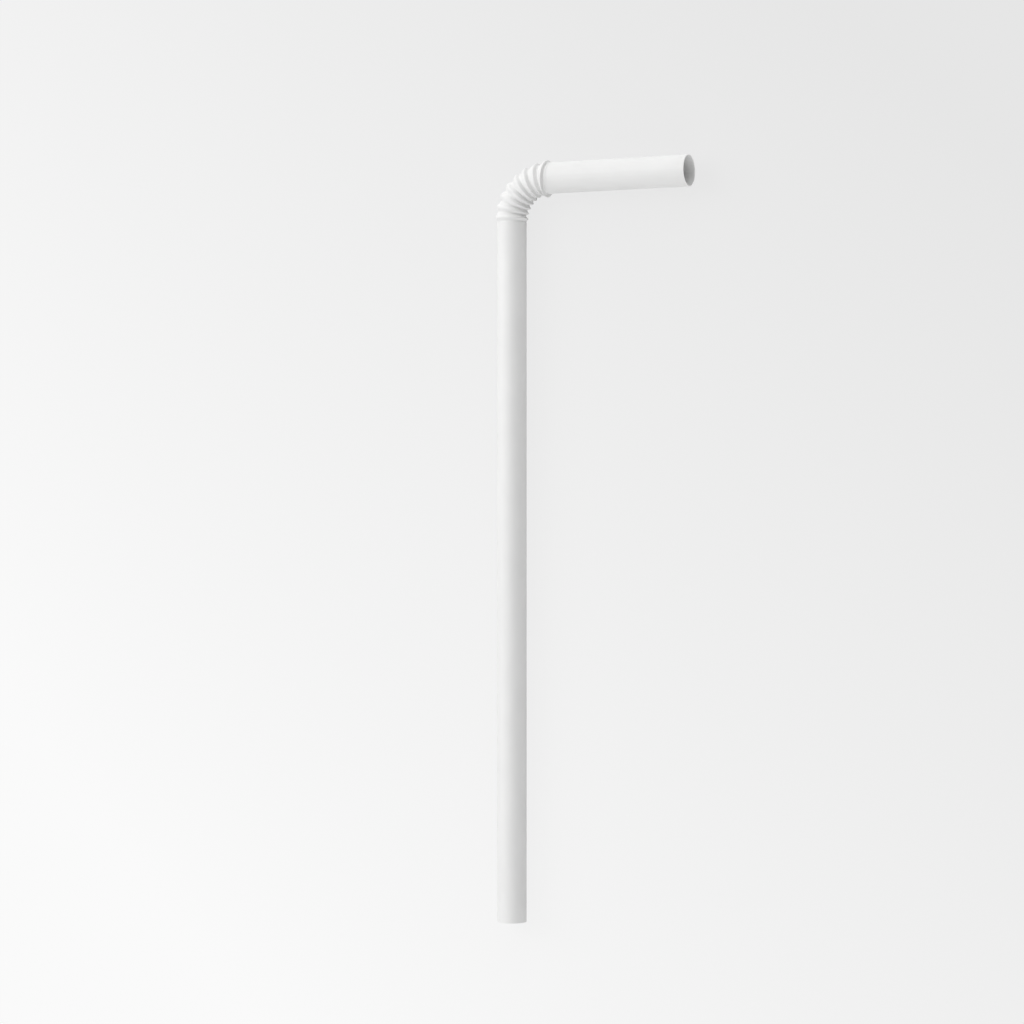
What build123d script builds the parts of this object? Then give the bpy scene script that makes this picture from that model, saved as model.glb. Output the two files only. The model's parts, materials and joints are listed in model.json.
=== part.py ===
from build123d import *
from math import cos, degrees, hypot, radians, sin
from typing import NamedTuple
import os

# A flexible drinking straw: one thin plastic tube, pleated at the neck and bent there.
# It lies on its side, with the stem along Y, its foot at -Y, and the mouthpiece towards +X.
# Lengths are in millimetres and angles in degrees.

# Plain tubes
STEM_OD = 6.35
WALL = 0.20
STEM_LENGTH = 150.25
MOUTHPIECE_LENGTH = 31.45
MOUTHPIECE_SWELL = 0.35  # how much wider than the stem the mouthpiece is, across

# Bend
BEND_ANGLE = 90.5
BEND_RADIUS = 8.65  # of the centre line

# Pleats of the neck
PLEATS = 8  # ribs on the bend
PLEAT_OVERRUN = 0.34  # of the even pitch past each end of the bend, along the centre line
LAST_PLEAT_TILT = 4.0  # of the pleats at the mouthpiece, outer side forwards; at the stem they are square
RIB_RISE = 0.37  # of a rib's crest above the stem's wall
FIRST_RIB_LEAN = 0.42  # share of the pitch from the groove to the crest after it
LAST_RIB_LEAN = 0.72  # the ribs between lean evenly more
FIRST_GROOVE_DEPTH = 0.42  # below the ribs, all round
GROOVE_DEPTH_OUTER = 0.62  # of the last pleat, on the outer side of the bend; it grows to this evenly
GROOVE_DEPTH_INNER = 0.60  # of the other pleats, on the inner side, where they are pushed together
LAST_RIB_RISE_OUTER = 0.42  # of the wider rib beside the mouthpiece, above the mouthpiece's wall
LAST_RIB_RISE_INNER = 0.80
FLANK_BANDS = 3  # flat bands on each flank of a rib

# Collars, the short runs from the pleats to the plain tubes, with a small bead on each
STEM_COLLAR = 1.10  # from the start of the bend
STEM_BEAD_RISE = 0.03
STEM_BEAD_PLACE = 0.66  # before the bend
MOUTH_COLLAR = 1.00  # from the end of the bend
LAST_GROOVE_DEPTH = 0.05  # below the mouthpiece's wall, all round
LAST_GROOVE_PLACE = 0.14  # past the bend
MOUTH_BEAD_RISE = 0.10
MOUTH_BEAD_PLACE = 0.60  # past the bend


class Fold(NamedTuple):
    """A turn of the wall along the tube: its place, its tilt, and how far out and how thick the wall is.

    reach and wall are pairs, for the bend's outer and inner sides.
    """

    angle: float
    along: float
    tilt: float
    reach: tuple
    wall: tuple


def both(size):
    """The same size on the bend's outer and inner sides."""
    return (size, size)


def mix(start, end, share):
    """Value between two sizes, or pairs of sizes."""
    if isinstance(start, tuple):
        return tuple(mix(a, b, share) for a, b in zip(start, end))
    return start + (end - start) * share


# Worked out from the sizes above
STEM_RADIUS = STEM_OD / 2
MOUTHPIECE_RADIUS = (STEM_OD + MOUTHPIECE_SWELL) / 2
RIB_RADIUS = STEM_RADIUS + RIB_RISE
OVERRUN_ANGLE = degrees(PLEAT_OVERRUN / BEND_RADIUS)
PITCH_ANGLE = (BEND_ANGLE + 2 * OVERRUN_ANGLE) / PLEATS
HALF_PITCH_OUTER = (BEND_RADIUS + RIB_RADIUS) * radians(PITCH_ANGLE / 2)
HALF_PITCH_INNER = (BEND_RADIUS - RIB_RADIUS) * radians(PITCH_ANGLE / 2)
LAST_RIB_REACH = (MOUTHPIECE_RADIUS + LAST_RIB_RISE_OUTER, MOUTHPIECE_RADIUS + LAST_RIB_RISE_INNER)
LAST_GROOVE_REACH = both(MOUTHPIECE_RADIUS - LAST_GROOVE_DEPTH)

# A sloping flank of the same sheet is thicker when it is measured across the tube.
PLEAT_WALL = (
    WALL * hypot(HALF_PITCH_OUTER, GROOVE_DEPTH_OUTER) / HALF_PITCH_OUTER,
    WALL * hypot(HALF_PITCH_INNER, GROOVE_DEPTH_INNER) / HALF_PITCH_INNER,
)


def pleat_fold(number, lean, reach):
    """Fold at a share of the pitch past the start of a pleat. The first pleat is number 0."""
    angle = PITCH_ANGLE * (number + lean) - OVERRUN_ANGLE
    return Fold(angle, 0, LAST_PLEAT_TILT * angle / BEND_ANGLE, reach, PLEAT_WALL)


def groove_fold(number):
    """Groove before the rib of this number."""
    depth_outer = mix(FIRST_GROOVE_DEPTH, GROOVE_DEPTH_OUTER, number / (PLEATS - 1))
    return pleat_fold(number, 0, (RIB_RADIUS - depth_outer, RIB_RADIUS - GROOVE_DEPTH_INNER))


def crest_fold(number, reach):
    """Crest of the rib of this number."""
    return pleat_fold(number, mix(FIRST_RIB_LEAN, LAST_RIB_LEAN, number / (PLEATS - 1)), reach)


# Folds at the two ends of the neck, from the stem to the mouthpiece. The ribs between change evenly.
STEM_END = Fold(0, -STEM_COLLAR, 0, both(STEM_RADIUS), both(WALL))
STEM_BEAD = Fold(0, -STEM_BEAD_PLACE, 0, both(STEM_RADIUS + STEM_BEAD_RISE), both(WALL))
FIRST_GROOVE = Fold(0, -PLEAT_OVERRUN, 0, both(RIB_RADIUS - FIRST_GROOVE_DEPTH), PLEAT_WALL)
FIRST_CREST = crest_fold(0, both(RIB_RADIUS))
LAST_CREST = crest_fold(PLEATS - 1, LAST_RIB_REACH)
LAST_GROOVE = Fold(BEND_ANGLE, LAST_GROOVE_PLACE, LAST_PLEAT_TILT, LAST_GROOVE_REACH, PLEAT_WALL)
MOUTH_BEAD = Fold(BEND_ANGLE, MOUTH_BEAD_PLACE, 0, both(MOUTHPIECE_RADIUS + MOUTH_BEAD_RISE), both(WALL))
MOUTHPIECE_START = Fold(BEND_ANGLE, MOUTH_COLLAR, 0, both(MOUTHPIECE_RADIUS), both(WALL))


def direction(angle):
    """Direction along the tube at an angle round the bend."""
    turn = radians(angle)
    return Vector(sin(turn), cos(turn), 0)


def section_plane(angle, along=0.0, tilt=0.0, outward=0.0):
    """Plane across the tube at an angle round the bend, whose centre is the origin.

    along moves it down the tube, towards the mouthpiece, and tilt turns its outer side that way.
    outward moves its origin away from the bend's centre, in the plane.
    """
    origin = direction(angle - 90) * BEND_RADIUS + direction(angle) * along
    origin += direction(angle + tilt - 90) * outward
    return Plane(origin, x_dir=(0, 0, -1), z_dir=direction(angle + tilt))


def ring(fold, inset):
    """Round section at a fold: of the outer skin where inset is 0, and of the bore where it is 1."""
    outer, inner = (reach - inset * wall for reach, wall in zip(fold.reach, fold.wall))
    plane = section_plane(fold.angle, fold.along, fold.tilt, (outer - inner) / 2)
    return plane * Circle((outer + inner) / 2)


def flank_fold(groove, crest, share):
    """Place on a flank, which is rounded at the groove and at the crest."""
    climb = share**2 * (3 - 2 * share)
    return Fold(
        mix(groove.angle, crest.angle, share),
        mix(groove.along, crest.along, share),
        mix(groove.tilt, crest.tilt, share),
        mix(groove.reach, crest.reach, climb),
        mix(groove.wall, crest.wall, climb),
    )


def rib(groove, crest, next_groove, inset):
    """One rib, from groove to groove."""
    shares = [band / FLANK_BANDS for band in range(FLANK_BANDS)]
    folds = [flank_fold(groove, crest, share) for share in shares]
    folds.append(crest)
    folds += [flank_fold(next_groove, crest, share) for share in reversed(shares)]
    return loft([ring(fold, inset) for fold in folds], ruled=True)


def collar(groove, bead, tube_end, inset):
    """Short run from a groove, over a small bead, to a plain tube."""
    return loft([ring(fold, inset) for fold in (groove, bead, tube_end)], ruled=True)


def tube(start, length, inset):
    """Plain tube from a collar to its open end. length is signed, and the bore goes a little further."""
    past_end = inset * WALL
    sign = 1 if length > 0 else -1
    return extrude(ring(start, inset), length + sign * past_end)


def form(inset):
    """The straw as one solid form: its outer skin where inset is 0, and its bore where inset is 1."""
    whole = tube(STEM_END, -STEM_LENGTH, inset)
    whole += collar(FIRST_GROOVE, STEM_BEAD, STEM_END, inset)
    whole += rib(FIRST_GROOVE, FIRST_CREST, groove_fold(1), inset)
    for number in range(1, PLEATS - 1):
        crest = crest_fold(number, both(RIB_RADIUS))
        whole += rib(groove_fold(number), crest, groove_fold(number + 1), inset)
    whole += rib(groove_fold(PLEATS - 1), LAST_CREST, LAST_GROOVE, inset)
    whole += collar(LAST_GROOVE, MOUTH_BEAD, MOUTHPIECE_START, inset)
    whole += tube(MOUTHPIECE_START, MOUTHPIECE_LENGTH, inset)
    return whole


def make_straw():
    """The straw, with the middle of its box at X = Y = 0 and its lowest point at Z = 0."""
    straw = form(inset=0) - form(inset=1)
    box = straw.bounding_box()
    return Pos(-box.center().X, -box.center().Y, -box.min.Z) * straw


os.makedirs("parts", exist_ok=True)
export_step(make_straw(), "parts/straw.step")
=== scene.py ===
import json
from math import cos, degrees, hypot, radians, sin, tau
from typing import NamedTuple

import bpy
from mathutils import Matrix, Vector


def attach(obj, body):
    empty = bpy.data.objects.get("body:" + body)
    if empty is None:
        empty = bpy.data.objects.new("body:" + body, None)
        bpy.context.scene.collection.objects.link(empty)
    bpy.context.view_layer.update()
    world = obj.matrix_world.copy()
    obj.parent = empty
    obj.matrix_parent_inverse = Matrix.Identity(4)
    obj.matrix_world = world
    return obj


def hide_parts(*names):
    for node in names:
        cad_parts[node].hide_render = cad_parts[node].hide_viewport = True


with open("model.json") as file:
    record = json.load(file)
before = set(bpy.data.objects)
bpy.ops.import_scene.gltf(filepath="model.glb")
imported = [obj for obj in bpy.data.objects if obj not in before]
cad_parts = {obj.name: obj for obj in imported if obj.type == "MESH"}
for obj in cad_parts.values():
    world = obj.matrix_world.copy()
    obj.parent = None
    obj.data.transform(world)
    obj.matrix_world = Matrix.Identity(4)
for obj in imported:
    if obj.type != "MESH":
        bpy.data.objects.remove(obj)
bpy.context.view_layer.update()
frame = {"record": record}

# A flexible drinking straw that lies on a pale floor, with the camera looking down on it.
# Lengths are in metres and angles in degrees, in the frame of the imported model.
MM = 0.001
MOUNTS = {mount["name"]: mount for mount in frame["record"]["mounts"]}


def mount_size(name, size):
    """A size of a mount, in metres."""
    return MOUNTS[name]["dims"][size] * MM


# Plain tubes, from the mounts
STEM_RADIUS = mount_size("stem_outside", "r_mm")
STEM_LENGTH = mount_size("stem_outside", "length_mm")
MOUTHPIECE_RADIUS = mount_size("mouthpiece_outside", "r_mm")
MOUTHPIECE_LENGTH = mount_size("mouthpiece_outside", "length_mm")
WALL = STEM_RADIUS - mount_size("stem_bore", "r_mm")
STEM_MIDDLE = Vector(MOUNTS["stem_outside"]["pos_m"])
TO_FOOT = Vector(MOUNTS["stem_outside"]["axis"])
TO_MOUTH = Vector(MOUNTS["mouthpiece_outside"]["axis"])
FOOT = STEM_MIDDLE + TO_FOOT * (STEM_LENGTH / 2)
RIM_ROUND = 0.06 * MM  # radius of the edges of the cut ends

# Bend and pleats, as in the part's source
BEND_ANGLE = degrees(TO_MOUTH.angle(-TO_FOOT))
BEND_RADIUS = 8.65 * MM
PLEATS = 8
PLEAT_OVERRUN = 0.34 * MM
LAST_PLEAT_TILT = 4.0
RIB_RISE = 0.37 * MM
FIRST_RIB_LEAN = 0.42
LAST_RIB_LEAN = 0.72
FIRST_GROOVE_DEPTH = 0.42 * MM
GROOVE_DEPTH_OUTER = 0.62 * MM
GROOVE_DEPTH_INNER = 0.60 * MM
LAST_RIB_RISE_OUTER = 0.42 * MM
LAST_RIB_RISE_INNER = 0.80 * MM

# Collars between the bend and the plain tubes, as in the part's source
STEM_COLLAR = 1.10 * MM
STEM_BEAD_RISE = 0.03 * MM
STEM_BEAD_PLACE = 0.66 * MM
MOUTH_COLLAR = 1.00 * MM
LAST_GROOVE_DEPTH = 0.05 * MM
LAST_GROOVE_PLACE = 0.14 * MM
MOUTH_BEAD_RISE = 0.10 * MM
MOUTH_BEAD_PLACE = 0.60 * MM

# Mesh
SEGMENTS = 96
FLANK_STEPS = 10
STEM_STEPS = 40
MOUTHPIECE_STEPS = 10
RIM_STEPS = 4
SHARP_ANGLE = 60

# Plastic
PLASTIC_DARK = (0.770, 0.771, 0.767, 1)
PLASTIC_LIGHT = (0.835, 0.835, 0.830, 1)
# painted highlight: the cut edges of the open ends are coloured whiter than the rest of the skin
CUT_EDGE_PAINTED_HIGHLIGHT = (0.960, 0.960, 0.955, 1)
ROUGHNESS_RANGE = (0.50, 0.62)
CLOUDS_PER_M = (260, 260, 120)  # in two directions across the tube, and along it
CLOUD_DETAIL = 3
DRAW_LINES_PER_M = (3500, 3500, 25)
DRAW_LINE_DETAIL = 2
DRAW_LINE_HEIGHT = 0.035 * MM
GRAIN_PER_M = (14000, 14000, 9000)
GRAIN_DETAIL = 1
GRAIN_HEIGHT = 0.010 * MM
SCATTER_SHARE = 0.2
SCATTER_DEPTH = 0.25 * MM

# Floor and light
FLOOR_HALF = 3.0
FLOOR_COLOUR = (0.70, 0.70, 0.70, 1)
FLOOR_ROUGHNESS = 0.9
FLOOR_GLOW_SHARE = 0.90  # the rest of the floor's look is lit, and keeps the shadow
FLOOR_GLOW = 0.895  # under the middle of the stem
FLOOR_FADE = Vector((-0.50, -0.50, 0))  # growth of the glow for each metre along X, Y and Z
FLOOR_GLOW_RANGE = (0.80, 0.98)  # where it stops fading and growing
KEY_PLACE = Vector((-1.15, 0.60, 1.10))
KEY_POWER = 18.6
TOP_PLACE = Vector((0.20, 1.55, 0.60))  # at the top of the view, past the neck
TOP_POWER = 9.1
FILL_PLACE = Vector((0.35, -1.50, 0.70))
FILL_POWER = 11.8
LIGHT_SIDE = 1.3  # of each square lamp
AMBIENT = 0.43

# Camera
CAMERA_TILT = 26.0  # round the stem, towards the mouthpiece
FOCAL_PIXELS = 2500.0
FRAME_PIXELS = 1024
CAMERA_DISTANCE = 539.8 * MM
EYE_ABOVE_FOOT = 88.4 * MM  # along the stem
CAMERA_ASIDE = 0.02 * MM  # to the right of the stem's middle line
CLIP_START = 10 * MM


# Shape


class Fold(NamedTuple):
    """A turn of the wall along the tube: its place, its tilt, and how far out and how thick the wall is.

    reach and wall are pairs, for the bend's outer and inner sides.
    """

    angle: float
    along: float
    tilt: float
    reach: tuple
    wall: tuple


class Ring(NamedTuple):
    """A round section of the skin. reach is a pair, for the bend's outer and inner sides.

    edge is 1 on the cut edge of an open end, and 0 away from it.
    """

    angle: float
    along: float
    tilt: float
    reach: tuple
    edge: float = 0.0


def both(size):
    """The same size on the bend's outer and inner sides."""
    return (size, size)


def mix(start, end, share):
    """Value between two sizes, or pairs of sizes."""
    if isinstance(start, tuple):
        return tuple(mix(a, b, share) for a, b in zip(start, end))
    return start + (end - start) * share


def neck_turns():
    """Crests and grooves of the neck, from the end of the stem to the start of the mouthpiece."""
    overrun = degrees(PLEAT_OVERRUN / BEND_RADIUS)
    pitch = (BEND_ANGLE + 2 * overrun) / PLEATS
    rib_radius = STEM_RADIUS + RIB_RISE
    half_outer = (BEND_RADIUS + rib_radius) * radians(pitch / 2)
    half_inner = (BEND_RADIUS - rib_radius) * radians(pitch / 2)
    pleat_wall = (
        WALL * hypot(half_outer, GROOVE_DEPTH_OUTER) / half_outer,
        WALL * hypot(half_inner, GROOVE_DEPTH_INNER) / half_inner,
    )

    last_rib_reach = (MOUTHPIECE_RADIUS + LAST_RIB_RISE_OUTER, MOUTHPIECE_RADIUS + LAST_RIB_RISE_INNER)
    last_groove_reach = both(MOUTHPIECE_RADIUS - LAST_GROOVE_DEPTH)

    def pleat(number, lean, reach):
        angle = pitch * (number + lean) - overrun
        return Fold(angle, 0, LAST_PLEAT_TILT * angle / BEND_ANGLE, reach, pleat_wall)

    def groove(number):
        depth_outer = mix(FIRST_GROOVE_DEPTH, GROOVE_DEPTH_OUTER, number / (PLEATS - 1))
        return pleat(number, 0, (rib_radius - depth_outer, rib_radius - GROOVE_DEPTH_INNER))

    def crest(number, reach):
        return pleat(number, mix(FIRST_RIB_LEAN, LAST_RIB_LEAN, number / (PLEATS - 1)), reach)

    def collar(angle, along, radius, wall):
        return Fold(angle, along, 0, both(radius), wall)

    turns = [
        collar(0, -STEM_COLLAR, STEM_RADIUS, both(WALL)),
        collar(0, -STEM_BEAD_PLACE, STEM_RADIUS + STEM_BEAD_RISE, both(WALL)),
        collar(0, -PLEAT_OVERRUN, rib_radius - FIRST_GROOVE_DEPTH, pleat_wall),
        crest(0, both(rib_radius)),
    ]
    for number in range(1, PLEATS - 1):
        turns.append(groove(number))
        turns.append(crest(number, both(rib_radius)))
    turns += [
        groove(PLEATS - 1),
        crest(PLEATS - 1, last_rib_reach),
        Fold(BEND_ANGLE, LAST_GROOVE_PLACE, LAST_PLEAT_TILT, last_groove_reach, pleat_wall),
        collar(BEND_ANGLE, MOUTH_BEAD_PLACE, MOUTHPIECE_RADIUS + MOUTH_BEAD_RISE, both(WALL)),
        collar(BEND_ANGLE, MOUTH_COLLAR, MOUTHPIECE_RADIUS, both(WALL)),
    ]
    return turns


def eased(turns):
    """The folds between the turns, where the wall is rounded at each crest and groove."""
    folds = []
    for start, end in zip(turns, turns[1:]):
        for step in range(FLANK_STEPS):
            share = step / FLANK_STEPS
            climb = share**2 * (3 - 2 * share)
            folds.append(
                Fold(
                    mix(start.angle, end.angle, share),
                    mix(start.along, end.along, share),
                    mix(start.tilt, end.tilt, share),
                    mix(start.reach, end.reach, climb),
                    mix(start.wall, end.wall, climb),
                )
            )
    return folds


def tube_folds():
    """Folds of the whole straw, from the foot to the mouth."""
    turns = neck_turns()
    stem_end = turns[0]
    mouthpiece_start = turns[-1]
    folds = []
    for step in range(STEM_STEPS):
        back = STEM_LENGTH * (1 - step / STEM_STEPS)
        folds.append(stem_end._replace(along=stem_end.along - back))
    folds += eased(turns)
    for step in range(MOUTHPIECE_STEPS + 1):
        ahead = MOUTHPIECE_LENGTH * step / MOUTHPIECE_STEPS
        folds.append(mouthpiece_start._replace(along=mouthpiece_start.along + ahead))
    return folds


def moved(ring, along, across, edge):
    """A ring moved along the tube and drawn in by across, with its share of the cut edge."""
    reach = tuple(reach - across for reach in ring.reach)
    return ring._replace(along=ring.along + along, reach=reach, edge=edge)


def rounded_ends(rings, inward):
    """The rings of one skin with a round edge at both open ends.

    inward is 1 on the outer skin and -1 on the bore, whose edge opens outwards.
    """
    start = []
    end = []
    for step in range(RIM_STEPS + 1):
        turn = radians(90 * step / RIM_STEPS)
        along = RIM_ROUND * (1 - sin(turn))
        across = inward * RIM_ROUND * (1 - cos(turn))
        start.append(moved(rings[0], along, across, sin(turn)))
        end.append(moved(rings[-1], -along, across, sin(turn)))
    return start[::-1] + rings[1:-1] + end


def skin_rings():
    """Rings all the way round the wall: up the outer skin from the foot, and back down the bore."""
    folds = tube_folds()
    outer = [Ring(f.angle, f.along, f.tilt, f.reach) for f in folds]
    bore = [Ring(f.angle, f.along, f.tilt, tuple(r - w for r, w in zip(f.reach, f.wall))) for f in folds]
    return rounded_ends(outer, 1) + rounded_ends(bore, -1)[::-1]


def ring_points(ring, bend_centre):
    """Points round a ring, and the same points on the tube as if it were straight, along its Z."""
    turn = radians(ring.angle)
    tangent = Vector((sin(turn), cos(turn), 0))
    away = Vector((-cos(turn), sin(turn), 0))
    leaning = away * cos(radians(ring.tilt)) + tangent * sin(radians(ring.tilt))
    upward = Vector((0, 0, 1))
    outer, inner = ring.reach
    radius = (outer + inner) / 2
    centre = bend_centre + away * BEND_RADIUS + tangent * ring.along + leaning * ((outer - inner) / 2)
    length = BEND_RADIUS * turn + ring.along
    places = []
    straight = []
    for segment in range(SEGMENTS):
        around = tau * segment / SEGMENTS
        across = radius * cos(around)
        height = radius * sin(around)
        places.append(centre + leaning * across + upward * height)
        straight.append(Vector((across, height, length)))
    return places, straight


def skin_faces(ring_count):
    """Faces between each ring and the next, and between the last ring and the first."""
    faces = []
    for this in range(ring_count):
        following = (this + 1) % ring_count
        for segment in range(SEGMENTS):
            beside = (segment + 1) % SEGMENTS
            corners = ((this, segment), (this, beside), (following, beside), (following, segment))
            faces.append([row * SEGMENTS + column for row, column in corners])
    return faces


def straw_mesh():
    """The straw as one closed skin.

    The attribute tube holds its straightened coordinates, and the attribute edge is 1 on the cut edges.
    """
    bend_start = FOOT - TO_FOOT * (STEM_LENGTH + STEM_COLLAR)
    bend_centre = bend_start + Vector((BEND_RADIUS, 0, 0))
    places = []
    straight = []
    rings = skin_rings()
    for ring in rings:
        ring_places, ring_straight = ring_points(ring, bend_centre)
        places += ring_places
        straight += ring_straight
    mesh = bpy.data.meshes.new("straw_tube")
    mesh.from_pydata(places, [], skin_faces(len(rings)))
    mesh.update()
    tube = mesh.attributes.new("tube", "FLOAT_VECTOR", "POINT")
    tube.data.foreach_set("vector", [value for point in straight for value in point])
    edge = mesh.attributes.new("edge", "FLOAT", "POINT")
    edge.data.foreach_set("value", [ring.edge for ring in rings for _ in range(SEGMENTS)])
    mesh.shade_smooth()
    mesh.set_sharp_from_angle(angle=radians(SHARP_ANGLE))
    return mesh


# Materials


def new_material(name):
    """A new material, with its nodes and the call that links them."""
    material = bpy.data.materials.new(name)
    material.use_nodes = True
    return material, material.node_tree.nodes, material.node_tree.links.new


def tube_noise(nodes, link, per_metre, detail):
    """Noise on the straightened tube, with its density round and along the tube."""
    tube = nodes.new("ShaderNodeAttribute")
    tube.attribute_name = "tube"
    stretch = nodes.new("ShaderNodeMapping")
    stretch.inputs["Scale"].default_value = per_metre
    noise = nodes.new("ShaderNodeTexNoise")
    noise.inputs["Scale"].default_value = 1
    noise.inputs["Detail"].default_value = detail
    link(tube.outputs["Vector"], stretch.inputs["Vector"])
    link(stretch.outputs["Vector"], noise.inputs["Vector"])
    return noise.outputs["Fac"]


def bump(nodes, link, height, distance, normal=None):
    """Bump of a given height, over another one if normal is given."""
    node = nodes.new("ShaderNodeBump")
    node.inputs["Distance"].default_value = distance
    link(height, node.inputs["Height"])
    if normal:
        link(normal, node.inputs["Normal"])
    return node.outputs["Normal"]


def blend_colours(nodes, link, share, second):
    """Mix towards a second colour by a share. Gives the node's first colour and its result."""
    blend = nodes.new("ShaderNodeMix")
    blend.data_type = "RGBA"
    blend.inputs["B"].default_value = second
    link(share, blend.inputs["Factor"])
    return blend.inputs["A"], blend.outputs["Result"]


def white_plastic():
    """Thin satin plastic, a little cloudy, with faint lines along it from being drawn out as a tube.

    Its cut edges are coloured whiter than its skin, as a painted highlight.
    """
    material, nodes, link = new_material("white_plastic")
    shader = nodes["Principled BSDF"]
    shader.inputs["Subsurface Weight"].default_value = SCATTER_SHARE
    shader.inputs["Subsurface Radius"].default_value = (1, 1, 1)
    shader.inputs["Subsurface Scale"].default_value = SCATTER_DEPTH

    clouds = tube_noise(nodes, link, CLOUDS_PER_M, CLOUD_DETAIL)
    draw_lines = tube_noise(nodes, link, DRAW_LINES_PER_M, DRAW_LINE_DETAIL)
    grain = tube_noise(nodes, link, GRAIN_PER_M, GRAIN_DETAIL)

    edge = nodes.new("ShaderNodeAttribute")
    edge.attribute_name = "edge"
    dark, skin = blend_colours(nodes, link, clouds, PLASTIC_LIGHT)
    dark.default_value = PLASTIC_DARK
    # painted highlight: the whiter colour is mixed in on the cut edges by the edge attribute
    under_edge, colour = blend_colours(nodes, link, edge.outputs["Fac"], CUT_EDGE_PAINTED_HIGHLIGHT)
    link(skin, under_edge)
    link(colour, shader.inputs["Base Color"])

    roughness = nodes.new("ShaderNodeMapRange")
    low, high = ROUGHNESS_RANGE
    roughness.inputs["To Min"].default_value = low
    roughness.inputs["To Max"].default_value = high
    link(draw_lines, roughness.inputs["Value"])
    link(roughness.outputs["Result"], shader.inputs["Roughness"])

    lines = bump(nodes, link, draw_lines, DRAW_LINE_HEIGHT)
    link(bump(nodes, link, grain, GRAIN_HEIGHT, lines), shader.inputs["Normal"])
    return material


def floor_glow(nodes, link):
    """Glow of the floor, which fades a little to the upper right of the view."""
    place = nodes.new("ShaderNodeTexCoord")
    fade = nodes.new("ShaderNodeVectorMath")
    fade.operation = "DOT_PRODUCT"
    fade.inputs[1].default_value = FLOOR_FADE

    # FLOOR_GLOW plus the growth from the middle of the stem, kept between low and high
    level = nodes.new("ShaderNodeMapRange")
    low, high = FLOOR_GLOW_RANGE
    middle = FLOOR_FADE.dot(STEM_MIDDLE)
    level.inputs["From Min"].default_value = low - FLOOR_GLOW + middle
    level.inputs["From Max"].default_value = high - FLOOR_GLOW + middle
    level.inputs["To Min"].default_value = low
    level.inputs["To Max"].default_value = high

    glow = nodes.new("ShaderNodeEmission")
    link(place.outputs["Object"], fade.inputs[0])
    link(fade.outputs["Value"], level.inputs["Value"])
    link(level.outputs["Result"], glow.inputs["Color"])
    return glow.outputs["Emission"]


def seen_floor(nodes, link):
    """1 on the rays that show the floor, in reflections and clear things too, and 0 on the rest."""
    path = nodes.new("ShaderNodeLightPath")
    seen = path.outputs["Is Camera Ray"]
    for ray in ("Is Glossy Ray", "Is Transmission Ray"):
        either = nodes.new("ShaderNodeMath")
        either.operation = "MAXIMUM"
        link(seen, either.inputs[0])
        link(path.outputs[ray], either.inputs[1])
        seen = either.outputs["Value"]
    return seen


def pale_floor():
    """Pale floor that glows where it is seen, and keeps the straw's shadow."""
    material, nodes, link = new_material("pale_floor")
    shader = nodes["Principled BSDF"]
    shader.inputs["Base Color"].default_value = FLOOR_COLOUR
    shader.inputs["Roughness"].default_value = FLOOR_ROUGHNESS
    shader.inputs["Specular IOR Level"].default_value = 0

    share = nodes.new("ShaderNodeMath")
    share.operation = "MULTIPLY"
    share.inputs[1].default_value = FLOOR_GLOW_SHARE
    link(seen_floor(nodes, link), share.inputs[0])
    blend = nodes.new("ShaderNodeMixShader")
    link(share.outputs["Value"], blend.inputs[0])
    link(shader.outputs["BSDF"], blend.inputs[1])
    link(floor_glow(nodes, link), blend.inputs[2])
    link(blend.outputs["Shader"], nodes["Material Output"].inputs["Surface"])
    return material


# Straw


def add_object(name, data):
    thing = bpy.data.objects.new(name, data)
    bpy.context.scene.collection.objects.link(thing)
    return thing


straw = add_object("straw_tube", straw_mesh())
straw.data.materials.append(white_plastic())
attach(straw, "root")
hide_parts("straw")


# Stage


def add_floor():
    mesh = bpy.data.meshes.new("floor")
    corners = [(x * FLOOR_HALF, y * FLOOR_HALF, 0) for x, y in ((-1, -1), (1, -1), (1, 1), (-1, 1))]
    mesh.from_pydata(corners, [], [(0, 1, 2, 3)])
    mesh.materials.append(pale_floor())
    add_object("floor", mesh)


def add_light(name, place, power):
    """A large soft lamp that points at the origin."""
    lamp = bpy.data.lights.new(name, "AREA")
    lamp.size = LIGHT_SIDE
    lamp.energy = power
    light = add_object(name, lamp)
    light.location = place
    light.rotation_mode = "QUATERNION"
    light.rotation_quaternion = (-place).to_track_quat("-Z", "Y")


def add_ambient():
    world = bpy.data.worlds.new("ambient")
    world.use_nodes = True
    background = world.node_tree.nodes["Background"]
    background.inputs["Color"].default_value = (1, 1, 1, 1)
    background.inputs["Strength"].default_value = AMBIENT
    bpy.context.scene.world = world


def add_camera():
    """A camera over the stem, tilted round the stem towards the mouthpiece."""
    tilt = radians(CAMERA_TILT)
    back = Vector((sin(tilt), 0, cos(tilt)))
    right = Vector((cos(tilt), 0, -sin(tilt)))
    up = Vector((0, 1, 0))
    lens = bpy.data.cameras.new("camera")
    lens.lens = lens.sensor_width * FOCAL_PIXELS / FRAME_PIXELS
    lens.clip_start = CLIP_START
    camera = add_object("camera", lens)
    target = FOOT - TO_FOOT * EYE_ABOVE_FOOT
    camera.location = target + back * CAMERA_DISTANCE + right * CAMERA_ASIDE
    camera.rotation_mode = "QUATERNION"
    camera.rotation_quaternion = Matrix((right, up, back)).transposed().to_quaternion()
    bpy.context.scene.camera = camera


add_floor()
add_light("key", KEY_PLACE, KEY_POWER)
add_light("top", TOP_PLACE, TOP_POWER)
add_light("fill", FILL_PLACE, FILL_POWER)
add_ambient()
add_camera()
bpy.context.scene.view_settings.view_transform = "Standard"
